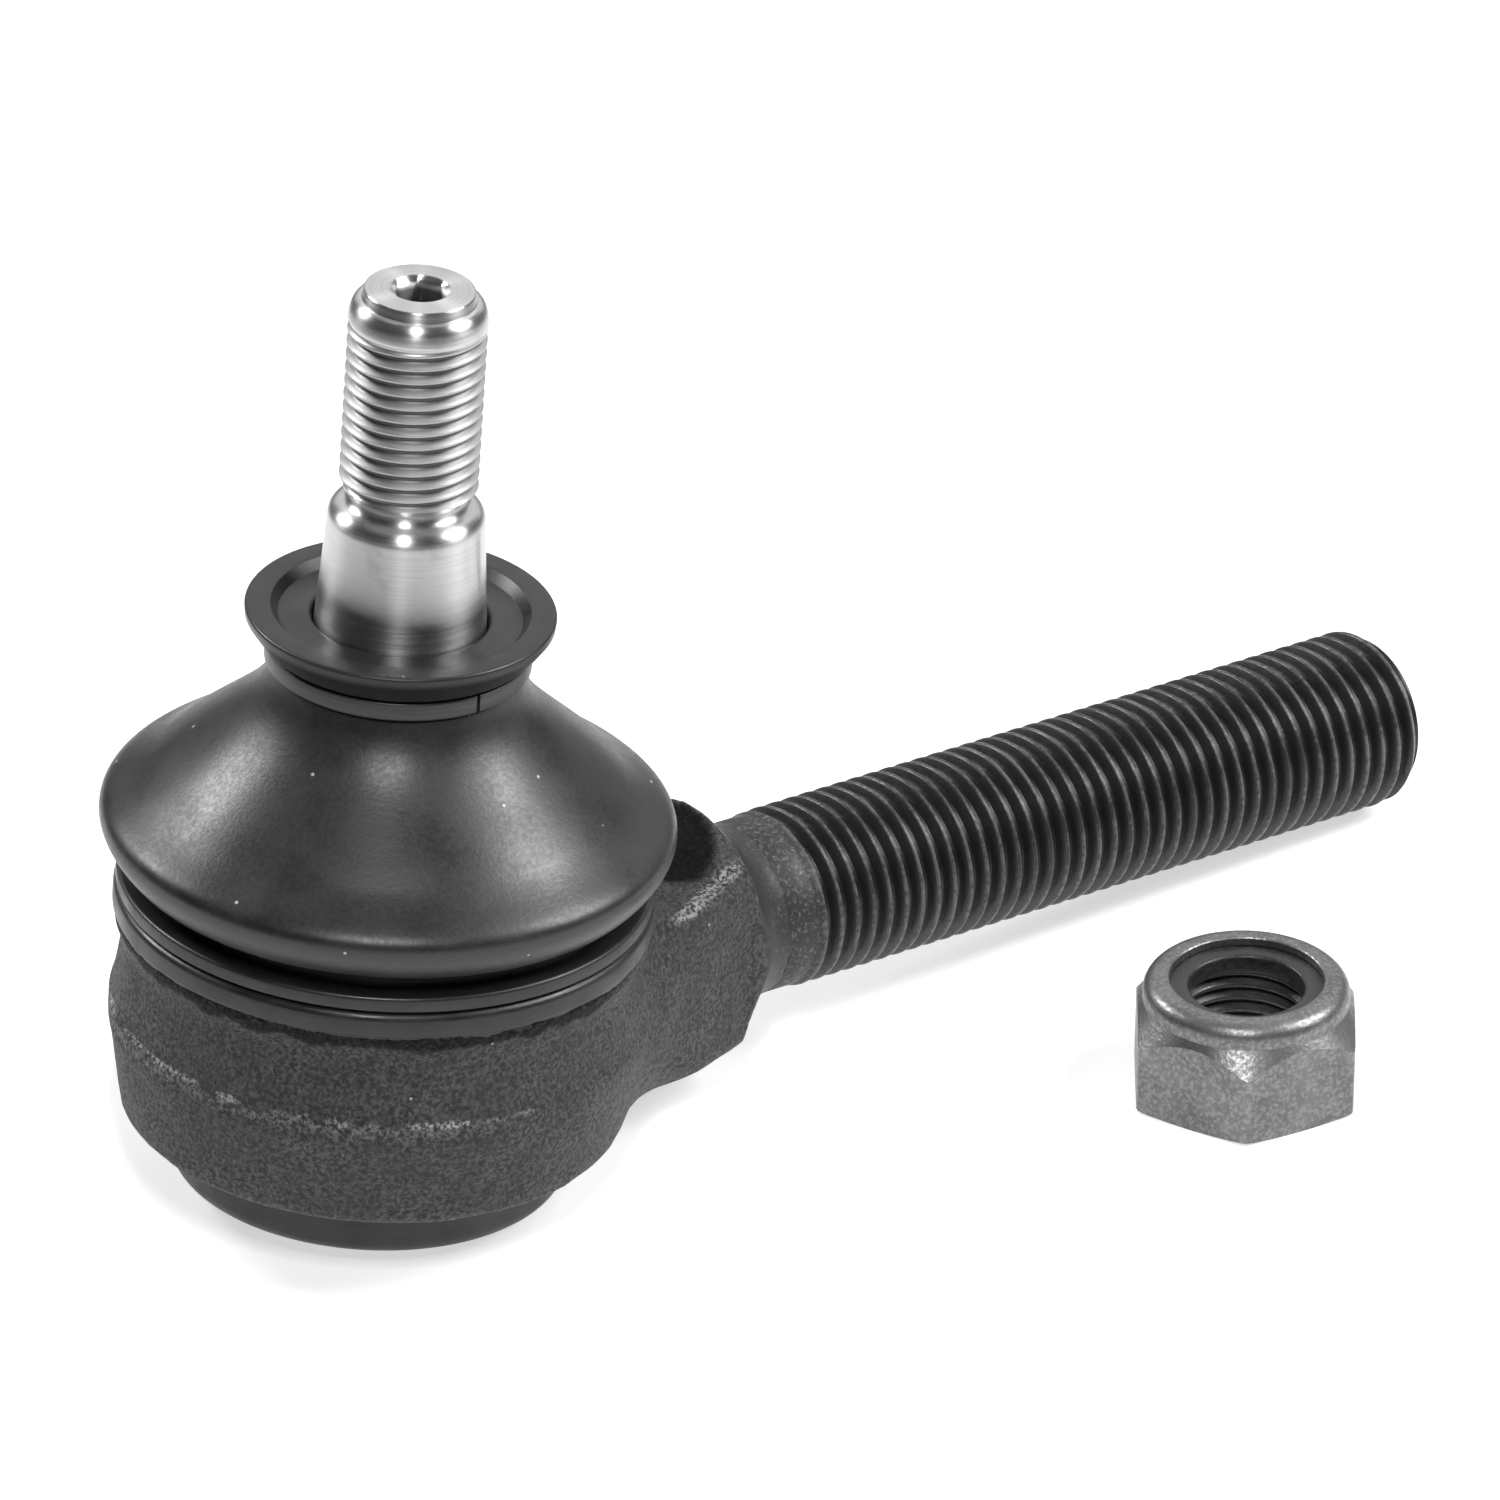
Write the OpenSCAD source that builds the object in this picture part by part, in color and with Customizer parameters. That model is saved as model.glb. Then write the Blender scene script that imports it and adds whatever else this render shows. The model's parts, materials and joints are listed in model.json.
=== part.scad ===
// Tie rod end: a forged housing with a threaded shank, a ball stud that swings and turns
// in sprung seats, a rubber dust boot with its rings, and the self-locking nut of the stud.
// The frame's origin is the centre of the closing cap's bottom face.
// +Z runs along the stud, +X runs along the shank.

/* [Stud] */
// Thread diameter of the stud
stud_d = 12; // [11:0.5:13]
// Diameter of the ball
ball_d = 22; // [21:0.1:22.2]
// Height of the ball's centre above the cap's bottom face
ball_z = 15; // [14.8:0.1:15.2]
// Diameter of the plain neck between ball and taper
neck_d = 11.2; // [10:0.1:11.6]
// Diameter at the big end of the taper
taper_d = 16.4; // [16:0.1:16.6]
// Length along the taper in which its diameter shrinks by 1
taper_ratio = 8; // [7:0.5:10]
// Height of the stud's tip above the cap's bottom face
tip_z = 84.4; // [84.2:0.1:90]
// Width across flats of the socket in the tip
key_af = 4; // [3:0.5:5]

/* [Housing] */
// Widest diameter of the forged drum
drum_d = 46.2; // [44:0.2:50]
// Diameter of the machined bead under the boot
bead_d = 46.7; // [45:0.1:50]
// Height of the bead's top face above the cap's bottom face
bead_z = 26.9; // [26.6:0.1:27]
// Thread diameter of the shank
shank_d = 16; // [14:1:18]
// Height of the shank's axis above the cap's bottom face
shank_z = 13.75; // [13:0.25:15]
// Distance from the stud's axis to the shank's end
reach = 111; // [90:0.5:160]
// Half width and half height of the square neck at its end
neck_half = [9, 8.5]; // [8:0.5:10]

/* [Cap] */
// Diameter of the closing cap
cap_d = 34.6; // [34:0.1:34.8]
// Height by which the cap stands out below the drum
cap_drop = 5.2; // [4.8:0.1:5.4]
// Thickness of the cap's sheet
cap_t = 1.8; // [1.4:0.1:1.8]

/* [Boot] */
// Widest diameter of the boot
boot_d = 49.8; // [48:0.1:52]
// Thickness of the boot's rubber
boot_t = 1.9; // [1.5:0.1:2.2]
// Diameter of the flange on top of the boot
flange_d = 26.8; // [25:0.1:28]
// Height of the flange's top face above the cap's bottom face
flange_z = 54; // [53.8:0.1:54.2]

/* [Nut] */
// Width across flats of the nut
nut_af = 19; // [18:0.5:21]
// Height of the nut
nut_h = 10.8; // [10:0.1:12]
// Place of the nut beside the housing
nut_x = 70.5; // [60:0.5:90]
// Distance of the nut from the shank's axis, towards the front
nut_y = 33.5; // [26:0.5:50]
// Turn of the nut about its own axis
nut_turn = -7.5; // [-30:0.5:30]

/* [Hidden] */
$fn = 96;

ball_r = ball_d / 2;
stud_r = stud_d / 2;
shank_r = shank_d / 2;
cap_r = cap_d / 2;
run_gap = 0.05;              // radial clearance of the running fits
taper_z = 40;                // height of the taper's big end
taper_top_z = 62.6;          // height of the taper's small end
stud_neck_z = 65;            // height of the undercut below the stud's thread
thread_z = [66.2, 81.4];     // where the stud's full thread begins and ends
thread_x = 42.6;             // where the shank's thread begins
turned_neck = [[34.3, 11.4], [36.2, 8.8], [39.5, shank_r - 0.25]]; // x and radius, neck's machined end
seat_r = 15;                 // outer radius of both seats
seat_top_z = ball_z + 5.9;   // height of the upper seat's lip
swing = 25.2;                // largest tilt of the stud with both swings at their limits
throat_gap = 0.4;            // room around the stud's neck at that tilt
bead_r = bead_d / 2;
edge_r = 1.4;                // radius of the cap's bottom edge
rest_tilt = atan((shank_z - shank_r) / (reach - cap_r + edge_r));
nut_z = (nut_x - cap_r + edge_r) * tan(rest_tilt);
crown_z = nut_h - 2.4;       // height at which the nut's round crown begins
pocket_z = nut_h - 2.8;      // height of the insert's foot

// radius of the stud's taper at height z
function taper_r(z) = taper_d / 2 - (z - taper_z) / taper_ratio / 2;

// radius of the opening that the stud's neck needs at height z
function throat_r(z) = (z - ball_z) * tan(swing) + neck_d / 2 / cos(swing) + throat_gap;

// points along a round stretch about [x, y] from angle a0 to a1
function arc(x, y, r, a0, a1, n = 8) =
    [for (i = [0:n]) let (a = a0 + (a1 - a0) * i / n) [x + r * cos(a), y + r * sin(a)]];

// points along a cubic curve from a to d, drawn towards b and c
function curve(a, b, c, d, n = 8) =
    [for (i = [0:n]) let (t = i / n, s = 1 - t)
        s * s * s * a + 3 * s * s * t * b + 3 * s * t * t * c + t * t * t * d];

// outline turned about +Z
module turned(points) {
    rotate_extrude() polygon(points);
}

// rod along +X at the shank's height
module along_x(x0, x1, r0, r1) {
    translate([x0, 0, shank_z]) rotate([0, 90, 0]) cylinder(h = x1 - x0, r1 = r0, r2 = r1);
}

// thin slab of the forged neck across X, its corners cut and its top and bottom raised in the middle
module neck_slab(x, w, h, cut, rise) {
    translate([x, 0, shank_z]) rotate([90, 0, 90]) linear_extrude(0.2)
        polygon([[w, h - cut], [w - cut, h], [0, h + rise], [cut - w, h], [-w, h - cut],
                 [-w, cut - h], [cut - w, -h], [0, -h - rise], [w - cut, -h], [w, cut - h]]);
}

module drum() {
    r = drum_d / 2;
    turned(concat(
        [[12, cap_drop]],
        arc(r - 2.9, cap_drop + 1.7, 1.7, -90, -8),
        [[r, ball_z], [r - 0.8, 21.3]],
        curve([r - 0.8, 21.3], [r - 0.9, 22.8], [bead_r, 22.6], [bead_r, 24.3]),
        arc(bead_r - 0.8, bead_z - 0.8, 0.8, 0, 90),
        [[throat_r(bead_z), bead_z], [throat_r(ball_z + 6), ball_z + 6],
         [12, ball_z]]));
}

module neck() {
    intersection() {
        hull() {
            neck_slab(15, neck_half.x + 6.5, neck_half.y + 0.4, 2.6, 0.8);
            neck_slab(34.3, neck_half.x - 0.3, neck_half.y, 2.6, 2.8);
            neck_slab(39.3, neck_half.x - 0.5, neck_half.y - 0.3, 2.6, 0.1);
        }
        union() {
            along_x(10, turned_neck[0].x + 0.01, 16.5, 16.5);
            for (i = [1, 2])
                along_x(turned_neck[i - 1].x, turned_neck[i].x, turned_neck[i - 1].y, turned_neck[i].y);
        }
    }
}

module housing() {
    color([0.16, 0.16, 0.16])
    difference() {
        union() {
            drum();
            neck();
            along_x(turned_neck[2].x - 0.1, thread_x + 0.1, turned_neck[2].y, turned_neck[2].y);
            along_x(thread_x, reach - 1.5, shank_r, shank_r);
            along_x(reach - 1.5, reach, shank_r, shank_r - 1.1);
        }
        // seat bore, closed above by the cone that holds the upper seat
        translate([0, 0, cap_drop - 1])
            cylinder(h = 20.5 - cap_drop + 1, r = seat_r + run_gap);
        translate([0, 0, 20.4]) cylinder(h = 2.6, r1 = seat_r + run_gap, r2 = throat_r(23));
        // counterbore for the cap
        translate([0, 0, cap_drop - 1]) cylinder(h = 2.8, r = cap_r + run_gap);
        // throat
        turned([[0, ball_z], [throat_r(ball_z), ball_z], [throat_r(30), 30], [0, 30]]);
    }
}

module ball_stud() {
    color([0.78, 0.78, 0.8])
    difference() {
        union() {
            translate([0, 0, ball_z]) sphere(r = ball_r);
            turned(concat(
                [[0, ball_z], [neck_d / 2, ball_z]],
                [[neck_d / 2, 34.5]],
                curve([neck_d / 2, 34.5], [neck_d / 2, 36.5],
                      [taper_r(taper_z), 37], [taper_r(taper_z), 38.8]),
                [[taper_r(taper_z), taper_z], [taper_r(taper_top_z), taper_top_z]],
                arc(taper_r(taper_top_z) - 1.6, taper_top_z + 0.1, 1.6, 5, 85, 6),
                [[stud_r - 1, stud_neck_z - 0.2], [stud_r - 1, stud_neck_z],
                 [stud_r, thread_z[0]], [stud_r, thread_z[1]]],
                curve([stud_r, thread_z[1]], [stud_r, thread_z[1] + 1.2],
                      [stud_r - 1, thread_z[1] + 1], [stud_r - 1, thread_z[1] + 1.9], 6),
                [[stud_r - 1, tip_z - 0.4], [stud_r - 1.3, tip_z], [0, tip_z]]));
        }
        // key socket in the tip, with its lead-in
        translate([0, 0, tip_z - 5]) cylinder(h = 6, d = key_af / cos(30), $fn = 6);
        translate([0, 0, tip_z - 0.5]) cylinder(h = 0.6, r1 = key_af / 2, r2 = key_af / 2 + 0.6);
    }
}

// seat outline turned, with the ball's room taken out
module seat(points) {
    difference() {
        turned(points);
        translate([0, 0, ball_z]) sphere(r = ball_r + run_gap);
    }
}

module upper_seat() {
    color([0.85, 0.83, 0.76])
    seat([[5, ball_z + 0.3], [seat_r, ball_z + 0.3], [seat_r, 20.35], [seat_r - 2.2, seat_top_z + 0.3],
          [throat_r(seat_top_z + 0.3), seat_top_z + 0.3], [throat_r(seat_top_z), seat_top_z - 0.2],
          [5, seat_top_z - 0.2]]);
}

module lower_seat() {
    color([0.85, 0.83, 0.76])
    seat([[3, 3.7], [seat_r - 1.5, 3.7], [seat_r, 5.6], [seat_r, ball_z - 0.3], [3, ball_z - 0.3]]);
}

module preload_spring() {
    color([0.5, 0.5, 0.52])
    turned([[5, 2.8], [13.2, cap_t], [13.6, cap_t + 0.7], [5.3, 3.65], [5, 3.65]]);
}

module closing_cap() {
    color([0.2, 0.2, 0.21])
    turned(concat(
        [[0, 0]],
        arc(cap_r - edge_r, edge_r, edge_r, -90, 0),
        [[cap_r, cap_drop + 1.8], [cap_r - cap_t, cap_drop + 1.8], [cap_r - cap_t, cap_t], [0, cap_t]]));
}

module boot_ring() {
    color([0.22, 0.22, 0.22])
    turned(concat(
        [[21.25, bead_z], [23, bead_z]],
        arc(22.9, bead_z + 0.4, 0.3, -70, 0, 3),
        arc(22.9, bead_z + 1.3, 0.3, 0, 90, 3),
        [[21.25, bead_z + 1.6]]));
}

module dust_boot() {
    r = boot_d / 2;
    low = bead_z + 3.6;
    inner = 9.65;
    color([0.14, 0.14, 0.14])
    turned(concat(
        [[inner, 50.55], [10.55, 50.55], [10.55, 48.8]],
        curve([10.9, 48.5], [11.7, 44.6], [15.6, 42.2], [20.7, 37.6]),
        curve([20.7, 37.6], [23.4, 35.3], [r, 35.1], [r, 33.6]),
        curve([r, 33.6], [r, 32.5], [r - 0.9, 31.3], [r - 1.7, low], 6),
        [[21.2, bead_z + 1.9], [21.2, bead_z], [21.2 - boot_t, bead_z], [21.2 - boot_t, bead_z + 2.4]],
        curve([21.6, low + 1.4], [r - boot_t, low + 2.2], [r - boot_t - 0.6, 34.1], [19.5, 36.1]),
        curve([19.5, 36.1], [14.4, 40.8], [inner, 43.2], [inner, 46.6])));
}

module boot_flange() {
    r = flange_d / 2;
    sleeve_r = 9.6;
    lip_z = 47;
    gap = 0.08;
    color([0.2, 0.2, 0.2])
    turned(concat(
        [[taper_r(lip_z) + gap, lip_z], [sleeve_r, lip_z], [sleeve_r, 50.7], [11.3, 50.75]],
        [[r, flange_z - 1.2]],
        arc(r - 0.3, flange_z - 0.3, 0.3, 0, 90, 3),
        [[r - 2.6, flange_z], [r - 2.8, flange_z - 0.7], [taper_r(52.4) + 0.6, flange_z - 0.7],
         [taper_r(52.4) + gap, 52.4]]));
}

module clip_ring() {
    slit = 0.35;
    color([0.3, 0.3, 0.3])
    difference() {
        turned([[10.6, 48.95], [11.5, 48.95], [11.5, 50.6], [10.6, 50.6]]);
        translate([-slit / 2, -12.5, 48]) cube([slit, 4, 4]);
    }
}

// the nut lies on the same floor as the housing, which leans on its shank's end
module on_floor() {
    translate([nut_x, -nut_y, nut_z]) rotate([0, -rest_tilt, 0]) rotate([0, 0, nut_turn]) children();
}

module nut_body() {
    crown_r = nut_af / 2 * 0.957;
    minor_r = 5.32;
    color([0.55, 0.55, 0.55])
    on_floor()
    difference() {
        union() {
            intersection() {
                cylinder(h = crown_z + 0.6, d = nut_af / cos(30), $fn = 6);
                turned([[0, 0], [nut_af / 2, 0], [nut_af / 2 + 0.8, 0.5], [nut_af / 2 + 2, 0.5],
                        [nut_af / 2 + 2, crown_z - 2.7], [crown_r, crown_z + 0.2], [0, crown_z + 0.2]]);
            }
            turned(concat(
                [[0, crown_z], [crown_r, crown_z]],
                arc(crown_r - 1.5, nut_h - 1.5, 1.5, 0, 90),
                [[0, nut_h]]));
        }
        translate([0, 0, -1]) cylinder(h = nut_h, r = minor_r);
        translate([0, 0, -0.01]) cylinder(h = 0.8, r1 = stud_r + 0.2, r2 = minor_r - 0.1);
        translate([0, 0, pocket_z]) cylinder(h = nut_h - pocket_z - 0.8, r = 7.4);
        translate([0, 0, nut_h - 1]) cylinder(h = 2, r = 6.7);
    }
}

module nut_insert() {
    color([0.1, 0.1, 0.1])
    on_floor()
    turned([[5.05, pocket_z + 0.4], [5.4, pocket_z + 0.05], [7.35, pocket_z + 0.05],
            [7.35, nut_h - 0.85], [5.4, nut_h - 0.85], [5.05, nut_h - 1.2]]);
}

housing();
ball_stud();
upper_seat();
lower_seat();
preload_spring();
closing_cap();
boot_ring();
dust_boot();
boot_flange();
clip_ring();
nut_body();
nut_insert();
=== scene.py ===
import json
import math
import bmesh
import bpy
import numpy as np
from mathutils import Matrix, Vector, noise


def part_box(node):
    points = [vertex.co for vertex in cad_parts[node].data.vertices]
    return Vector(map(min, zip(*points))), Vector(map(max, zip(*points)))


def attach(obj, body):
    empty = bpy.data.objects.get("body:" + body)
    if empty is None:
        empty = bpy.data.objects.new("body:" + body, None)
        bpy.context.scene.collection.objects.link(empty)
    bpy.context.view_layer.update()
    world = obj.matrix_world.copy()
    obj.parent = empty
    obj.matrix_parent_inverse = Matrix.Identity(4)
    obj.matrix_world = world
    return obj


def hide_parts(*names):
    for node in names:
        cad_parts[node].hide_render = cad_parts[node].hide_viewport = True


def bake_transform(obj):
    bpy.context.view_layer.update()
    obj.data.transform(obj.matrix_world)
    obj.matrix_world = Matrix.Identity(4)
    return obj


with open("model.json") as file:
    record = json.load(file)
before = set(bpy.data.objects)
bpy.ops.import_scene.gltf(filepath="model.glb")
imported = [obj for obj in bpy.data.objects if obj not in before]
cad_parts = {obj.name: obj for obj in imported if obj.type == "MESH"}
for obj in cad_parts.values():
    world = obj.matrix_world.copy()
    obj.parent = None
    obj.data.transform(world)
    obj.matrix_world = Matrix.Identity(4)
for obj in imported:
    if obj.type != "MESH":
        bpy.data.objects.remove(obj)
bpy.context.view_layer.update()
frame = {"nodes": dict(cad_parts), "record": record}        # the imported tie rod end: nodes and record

# --------------------------------------------------------------
# Sizes. Meshes are drawn in millimetres and scaled to metres when they become pieces.
# The frame's origin is under the stud, +Z runs along the stud and +X along the shank.
# --------------------------------------------------------------

MM = 0.001
mounts = {m["name"]: m for m in frame["record"]["mounts"]}


def corners(node):
    """Lowest and highest corner of a CAD node in millimetres."""
    low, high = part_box(node)
    return Vector(low) / MM, Vector(high) / MM


CAP_R, CAP_TOP = corners("closing_cap")[1].x, corners("closing_cap")[1].z
CAP_EDGE = 1.4
CAP_SHEET = 1.8
DRUM_BOTTOM = 5.2
DRUM_R = -corners("housing")[0].x
BEAD_TOP = corners("boot_ring")[0].z
REACH = corners("housing")[1].x
RING_R, RING_TOP = corners("boot_ring")[1].x, corners("boot_ring")[1].z
BOOT_R = corners("dust_boot")[1].x
BOOT_TOP = corners("dust_boot")[1].z
FLANGE_R, FLANGE_TOP = corners("boot_flange")[1].x, corners("boot_flange")[1].z
SLEEVE_BOTTOM = corners("boot_flange")[0].z
CLIP_R = corners("clip_ring")[1].x
CLIP_LOW, CLIP_HIGH = corners("clip_ring")[0].z, corners("clip_ring")[1].z
TIP = corners("ball_stud")[1].z
BALL_R = corners("ball_stud")[1].x
BALL_Z = BALL_R + corners("ball_stud")[0].z
SHANK_Z = mounts["shank_thread"]["pos_m"][2] / MM
SHANK_R = mounts["shank_thread"]["dims"]["r_mm"]
STUD_R = mounts["stud_thread"]["dims"]["r_mm"]

NUT_UP = -Vector(mounts["nut_thread"]["axis"]).normalized()
FLOOR_POINT = Vector((CAP_R - CAP_EDGE, 0, 0))
BOOT_SPLIT = 37.9          # height where the boot's two shells meet

BORE_R, BORE_TOP = 15.05, 20.4                     # the drum's bore above the cap
NECK_END_X, NECK_END_R = 39.5, SHANK_R - 0.25      # end of the machined hollow between neck and thread
HOLLOW_R = 5.6                                     # radius of that hollow's curve
THREAD_X = 42.6                                    # where the shank's thread begins
DISH = (29.0, 0.5, 5.2, 7.5)     # middle and half widths, along X and Y, of the dish in the neck's top
NECK_RIDGE = ((20.2, -13.0, 22.2), (34.5, -6.0, 22.2))    # ridge between the neck's top and side
SHANK_PITCH = 1.8
STUD_PITCH = 1.25
STUD_NECK_R = 5.6
TAPER_R, TAPER_Z = 8.2, 40                         # widest radius of the stud's taper, and its height
THROAT_LEAN = math.radians(25.2)                   # half angle of the opening round the stud's neck


def taper_r(z):
    """Radius of the stud's taper at height z."""
    return TAPER_R - (z - TAPER_Z) / 16


def throat_r(z):
    """Radius of the opening round the stud's neck at height z."""
    return (z - BALL_Z) * math.tan(THROAT_LEAN) + STUD_NECK_R / math.cos(THROAT_LEAN) + 0.4


# --------------------------------------------------------------
# Mesh making
# --------------------------------------------------------------

def arc(x, y, r, start, end, steps=8):
    """Points along a round stretch about (x, y), angles in degrees."""
    angles = [math.radians(start + (end - start) * i / steps) for i in range(steps + 1)]
    return [(x + r * math.cos(a), y + r * math.sin(a)) for a in angles]


def curve(a, b, c, d, steps=10):
    """Points along a cubic curve from a to d, drawn towards b and c."""
    points = []
    for i in range(steps + 1):
        t = i / steps
        s = 1 - t
        weights = (s * s * s, 3 * s * s * t, 3 * s * t * t, t * t * t)
        points.append(tuple(sum(w * p[k] for w, p in zip(weights, (a, b, c, d))) for k in (0, 1)))
    return points


def ring(radius, z, columns):
    """One ring of points about +Z; radius and z are numbers or have one value per column."""
    if np.ndim(radius) == 0 and radius < 1e-6:
        return np.array([[0.0, 0.0, float(z)]])
    turn = 2 * np.pi * np.arange(columns) / columns
    r = np.broadcast_to(radius, columns)
    return np.stack([r * np.cos(turn), r * np.sin(turn), np.broadcast_to(z, columns)], 1)


def skin(rings, closed=False):
    """Vertices and faces of rings joined in order; a ring of one point is a pole."""
    vertices = np.vstack(rings)
    starts = np.cumsum([0] + [len(r) for r in rings])
    pairs = [(i, i + 1) for i in range(len(rings) - 1)]
    if closed:
        pairs.append((len(rings) - 1, 0))
    faces = []
    for a, b in pairs:
        count = max(len(rings[a]), len(rings[b]))
        for j in range(count):
            face = []
            for k, step in ((a, j), (a, j + 1), (b, j + 1), (b, j)):
                index = starts[k] + (step % count if len(rings[k]) > 1 else 0)
                if index not in face:
                    face.append(index)
            if len(face) > 2:
                faces.append(face)
    return vertices, faces


def turned(outline, columns):
    """An outline of (radius, height) turned about +Z; open only where it ends on the axis."""
    rings = [ring(r, z, columns) for r, z in outline]
    return skin(rings, closed=outline[0][0] > 1e-6)


# places along one pitch at which a thread has a row of vertices, 0 on the crest's middle
THREAD_ROWS = (0.0, 0.07, 0.12, 0.24, 0.35, 0.42, 0.5, 0.58, 0.65, 0.76, 0.88, 0.93)


def thread_depth(phase):
    """Share of a thread's depth at a place along the pitch: 0 on the crest, 1 in the root."""
    away = np.abs((phase + 0.5) % 1 - 0.5)
    share = np.clip((away - 0.06) / 0.33, 0, 1)
    return 0.6 * share + 0.4 * share * share * (3 - 2 * share)


def helix(z0, z1, pitch, radius_at, columns):
    """Vertices and faces of a threaded surface between two heights, rows along the helix."""
    turns = int(math.ceil((z1 - z0) / pitch)) + 2
    rows = np.array([k + u for k in range(turns) for u in THREAD_ROWS])
    share = np.arange(columns) / columns
    z = z0 + pitch * (rows[:, None] - 1 + share[None, :])
    z = np.clip(z, z0, z1)
    radius = radius_at(z, (z - z0) / pitch - share[None, :])
    turn = 2 * np.pi * share[None, :]
    vertices = np.stack([radius * np.cos(turn), radius * np.sin(turn), z], -1).reshape(-1, 3)
    faces = []
    step = len(THREAD_ROWS)
    for i in range(len(rows) - 1):
        for j in range(columns):
            # the last column joins the first one a whole pitch further on
            k, lift = (j + 1, 0) if j + 1 < columns else (0, step)
            if i + 1 + lift < len(rows):
                faces.append((i * columns + j, (i + lift) * columns + k,
                              (i + 1 + lift) * columns + k, (i + 1) * columns + j))
    return vertices, faces


def joined(*parts):
    """Several (vertices, faces) as one."""
    vertices, faces, offset = [], [], 0
    for v, f in parts:
        vertices.append(v)
        faces += [[i + offset for i in face] for face in f]
        offset += len(v)
    return np.vstack(vertices), faces


def surface_nets(field, origin, step):
    """Closed mesh where a field of signed distances changes sign, one vertex in each cell crossed."""
    inside = field < 0
    size = np.array(field.shape) - 1
    offsets = [np.array((x, y, z)) for x in (0, 1) for y in (0, 1) for z in (0, 1)]
    count = np.zeros(size, np.int8)
    for o in offsets:
        count += inside[o[0]:o[0] + size[0], o[1]:o[1] + size[1], o[2]:o[2] + size[2]]
    cells = np.argwhere((count > 0) & (count < 8))
    index = np.full(size, -1, np.int32)
    index[tuple(cells.T)] = np.arange(len(cells))
    total, hits = np.zeros((len(cells), 3)), np.zeros(len(cells))
    for a in offsets:
        for axis in range(3):
            if a[axis]:
                continue
            b = a + np.eye(3, dtype=int)[axis]
            fa, fb = field[tuple((cells + a).T)], field[tuple((cells + b).T)]
            crossed = (fa < 0) != (fb < 0)
            t = fa / np.where(crossed, fa - fb, 1)
            total += np.where(crossed[:, None], a + t[:, None] * (b - a), 0)
            hits += crossed
    vertices = origin + step * (cells + total / hits[:, None])
    quads = []
    for axis in range(3):
        u, v = np.eye(3, dtype=int)[(axis + 1) % 3], np.eye(3, dtype=int)[(axis + 2) % 3]
        near = [slice(None)] * 3
        far = [slice(None)] * 3
        near[axis], far[axis] = slice(0, -1), slice(1, None)
        a, b = inside[tuple(near)], inside[tuple(far)]
        edges = np.argwhere(a != b)
        solid_first = a[tuple(edges.T)]
        quad = np.stack([index[tuple((edges + o).T)] for o in (-u - v, -v, 0 * u, -u)], 1)
        quads.append(np.where(solid_first[:, None], quad, quad[:, ::-1]))
    return vertices, np.vstack(quads)


def piece(name, shape, body, nodes, finish, place=None, sharp=32, weld=True):
    """A mesh in millimetres becomes a piece that rides on a body and stands for CAD nodes."""
    vertices, faces = shape
    mesh = bpy.data.meshes.new(name)
    mesh.from_pydata([tuple(v) for v in np.asarray(vertices) * MM], [],
                     [tuple(int(i) for i in f) for f in faces])
    work = bmesh.new()
    work.from_mesh(mesh)
    if weld:
        bmesh.ops.remove_doubles(work, verts=work.verts, dist=2e-6)
        bmesh.ops.dissolve_degenerate(work, edges=work.edges, dist=1e-6)
    bmesh.ops.recalc_face_normals(work, faces=work.faces)
    work.to_mesh(mesh)
    work.free()
    mesh.polygons.foreach_set("use_smooth", [True] * len(mesh.polygons))
    mesh.set_sharp_from_angle(angle=math.radians(sharp))
    made = bpy.data.objects.new(name, mesh)
    bpy.context.scene.collection.objects.link(made)
    mesh.materials.append(finish)
    if place is not None:
        made.matrix_world = place
    if body is not None:
        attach(made, body)
    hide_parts(*nodes)
    return made


# --------------------------------------------------------------
# Finishes: node materials, patterns in millimetres
# --------------------------------------------------------------

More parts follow.
